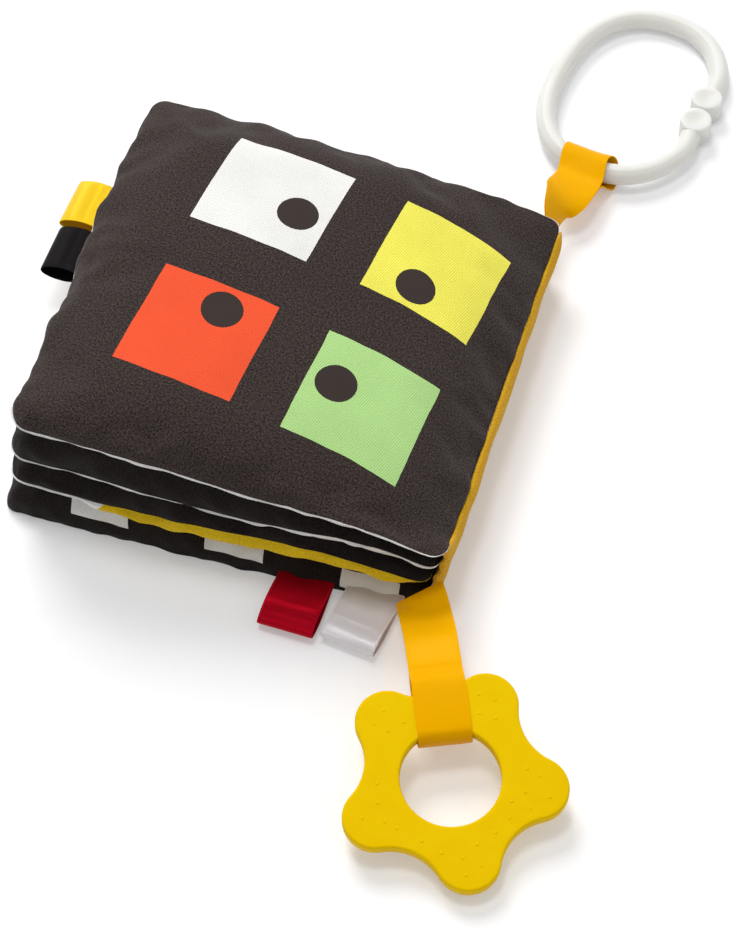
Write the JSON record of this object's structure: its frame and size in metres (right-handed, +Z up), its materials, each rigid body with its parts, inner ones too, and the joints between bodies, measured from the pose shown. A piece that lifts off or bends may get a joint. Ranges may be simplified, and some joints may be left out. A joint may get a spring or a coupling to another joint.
{
  "type": "soft cloth book",
  "caption": "Soft padded cloth baby book, closed, with satin tags, a clip-on link ring and a petal teether on ribbons at its spine.",
  "frame": {"origin": "centre of the flat underside of the back cover, on the surface that the closed book lies on", "axes": "+Z up out of the front cover, +X towards the spine, +Y towards the head of the book and its link ring"},
  "size_m": [0.2032, 0.3315, 0.0544],
  "materials": {
    "black_cloth": "charcoal polyester cloth with a printed pattern",
    "checked_cloth": "charcoal polyester cloth with white checks along its edges",
    "white_cloth": "white polyester cloth",
    "white_yellow_cloth": "white and yellow printed polyester cloth",
    "golden_cloth": "golden yellow polyester cloth",
    "wadding": "white polyester wadding",
    "crinkle_film": "thin crackling film",
    "yellow_satin": "yellow satin ribbon",
    "amber_satin": "amber satin ribbon",
    "black_satin": "black satin ribbon",
    "red_satin": "red satin ribbon",
    "grey_satin": "silver grey satin ribbon",
    "white_plastic": "moulded white polypropylene",
    "yellow_rubber": "matt yellow teether rubber"
  },
  "bodies": {
    "back_cover": {"back_cover_upper_cloth": "checked_cloth", "back_cover_lower_cloth": "golden_cloth", "back_cover_wadding": "wadding", "back_cover_spine_cloth": "golden_cloth", "red_tag": "red_satin", "grey_tag": "grey_satin", "ring_ribbon_tail": "amber_satin", "teether_ribbon_tail": "amber_satin"},
    "page_3": {"page_3_upper_cloth": "black_cloth", "page_3_lower_cloth": "white_yellow_cloth", "page_3_wadding": "wadding", "page_3_spine_cloth": "golden_cloth", "yellow_tag": "yellow_satin", "black_tag": "black_satin"},
    "page_2": {"page_2_upper_cloth": "black_cloth", "page_2_lower_cloth": "white_cloth", "page_2_wadding": "wadding", "page_2_crinkle_film": "crinkle_film", "page_2_spine_cloth": "golden_cloth"},
    "front_cover": {"front_cover_upper_cloth": "black_cloth", "front_cover_lower_cloth": "white_cloth", "front_cover_wadding": "wadding", "front_cover_crinkle_film": "crinkle_film"},
    "ring_ribbon": {"ring_ribbon": "amber_satin"},
    "link_ring": {"link_ring": "white_plastic"},
    "teether_ribbon": {"teether_ribbon": "amber_satin"},
    "teether": {"teether_ribbon_loop": "amber_satin", "teether": "yellow_rubber"}
  },
  "joints": [
    {"name": "page_3_hinge", "type": "hinge", "parent": "back_cover", "child": "page_3", "pos_m": [0.0686, 0, 0.006], "axis": [0, 1, 0], "range_deg": [0, 50]},
    {"name": "page_2_hinge", "type": "hinge", "parent": "page_3", "child": "page_2", "pos_m": [0.0706, 0, 0.012], "axis": [0, 1, 0], "range_deg": [0, 50]},
    {"name": "front_cover_hinge", "type": "hinge", "parent": "page_2", "child": "front_cover", "pos_m": [0.0726, 0, 0.018], "axis": [0, 1, 0], "range_deg": [0, 170]},
    {"name": "ring_ribbon_swing", "type": "hinge", "parent": "back_cover", "child": "ring_ribbon", "pos_m": [0.06736, 0.08162, 0.013], "axis": [0.9816, -0.1908, 0], "range_deg": [-60, 85]},
    {"name": "ring_swing", "type": "hinge", "parent": "ring_ribbon", "child": "link_ring", "pos_m": [0.07223, 0.10666, 0.00529], "axis": [-0.9816, 0.1908, 0], "range_deg": [-60, 60]},
    {"name": "teether_ribbon_swing", "type": "hinge", "parent": "back_cover", "child": "teether_ribbon", "pos_m": [0.07024, -0.08076, 0.013], "axis": [-0.9239, -0.3827, 0], "range_deg": [-60, 75]},
    {"name": "teether_swing", "type": "hinge", "parent": "teether_ribbon", "child": "teether", "pos_m": [0.0752, -0.09274, 0.01443], "axis": [0.9239, 0.3827, 0], "range_deg": [-60, 60]}
  ]
}
